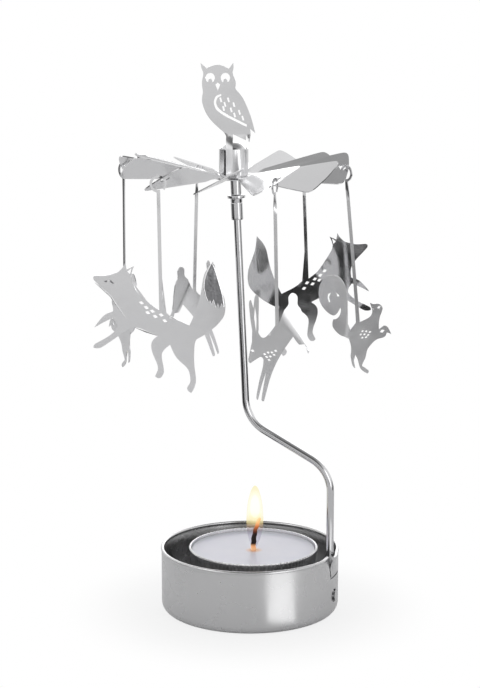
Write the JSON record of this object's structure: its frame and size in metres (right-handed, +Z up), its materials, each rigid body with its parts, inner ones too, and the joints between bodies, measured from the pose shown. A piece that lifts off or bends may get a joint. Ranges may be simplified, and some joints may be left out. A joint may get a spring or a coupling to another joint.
{
  "type": "candle carousel",
  "caption": "Rotary tealight holder: steel tray, bent wire stand, vaned rotor on a needle, sheet metal forest animals hanging from it and an owl on top.",
  "frame": {"origin": "centre of the tray's flat underside, where the holder stands", "axes": "+Z up along the tray's axis; +X from the tray's centre to the foot of the wire stand"},
  "size_m": [0.0867, 0.0734, 0.165],
  "materials": {
    "tray_steel": "satin drawn steel",
    "bright_steel": "polished",
    "needle_steel": "ground",
    "sheet_steel": "bright rolled sheet",
    "aluminium": "satin",
    "wax": "white paraffin wax",
    "wick": "charred cotton",
    "tinned_steel": "tinned"
  },
  "bodies": {
    "stand": {"candle_tray": "tray_steel", "stand_rod": "bright_steel", "pivot_sleeve": "bright_steel", "pivot_needle": "needle_steel"},
    "rotor": {"bearing_cap": "bright_steel", "rotor": "sheet_steel", "owl_topper": "sheet_steel"},
    "tealight": {"tealight_cup": "aluminium", "tealight_wax": "wax", "tealight_wick": "wick", "wick_sustainer": "tinned_steel"},
    "squirrel_right": {"squirrel_right": "sheet_steel"},
    "fox_back": {"fox_back": "sheet_steel"},
    "hare_back": {"hare_back": "sheet_steel"},
    "squirrel_left": {"squirrel_left": "sheet_steel"},
    "fox_front": {"fox_front": "sheet_steel"},
    "hare_front": {"hare_front": "sheet_steel"}
  },
  "joints": [
    {"name": "rotor_spin", "type": "hinge", "parent": "stand", "child": "rotor", "pos_m": [-0.00505, 0, 0.1414], "axis": [0, 0, 1], "continuous": true},
    {"name": "squirrel_right_swing", "type": "hinge", "parent": "rotor", "child": "squirrel_right", "pos_m": [0.02787, 0.00437, 0.13333], "axis": [0.5373, 0.8434, 0], "range_deg": [-20, 20]},
    {"name": "fox_back_swing", "type": "hinge", "parent": "rotor", "child": "fox_back", "pos_m": [0.00762, 0.0307, 0.13118], "axis": [-0.4617, 0.887, 0], "range_deg": [-20, 20]},
    {"name": "hare_back_swing", "type": "hinge", "parent": "rotor", "child": "hare_back", "pos_m": [-0.0253, 0.02633, 0.12945], "axis": [-0.999, 0.0436, 0], "range_deg": [-20, 20]},
    {"name": "squirrel_left_swing", "type": "hinge", "parent": "rotor", "child": "squirrel_left", "pos_m": [-0.03797, -0.00437, 0.13294], "axis": [-0.5373, -0.8434, 0], "range_deg": [-20, 20]},
    {"name": "fox_front_swing", "type": "hinge", "parent": "rotor", "child": "fox_front", "pos_m": [-0.01772, -0.0307, 0.13256], "axis": [0.4617, -0.887, 0], "range_deg": [-20, 20]},
    {"name": "hare_front_swing", "type": "hinge", "parent": "rotor", "child": "hare_front", "pos_m": [0.0152, -0.02633, 0.13256], "axis": [0.999, -0.0436, 0], "range_deg": [-20, 20]},
    {"name": "tealight_lift", "type": "slide", "parent": "stand", "child": "tealight", "axis": [0, 0, 1], "range_m": [0, 0.02]}
  ]
}
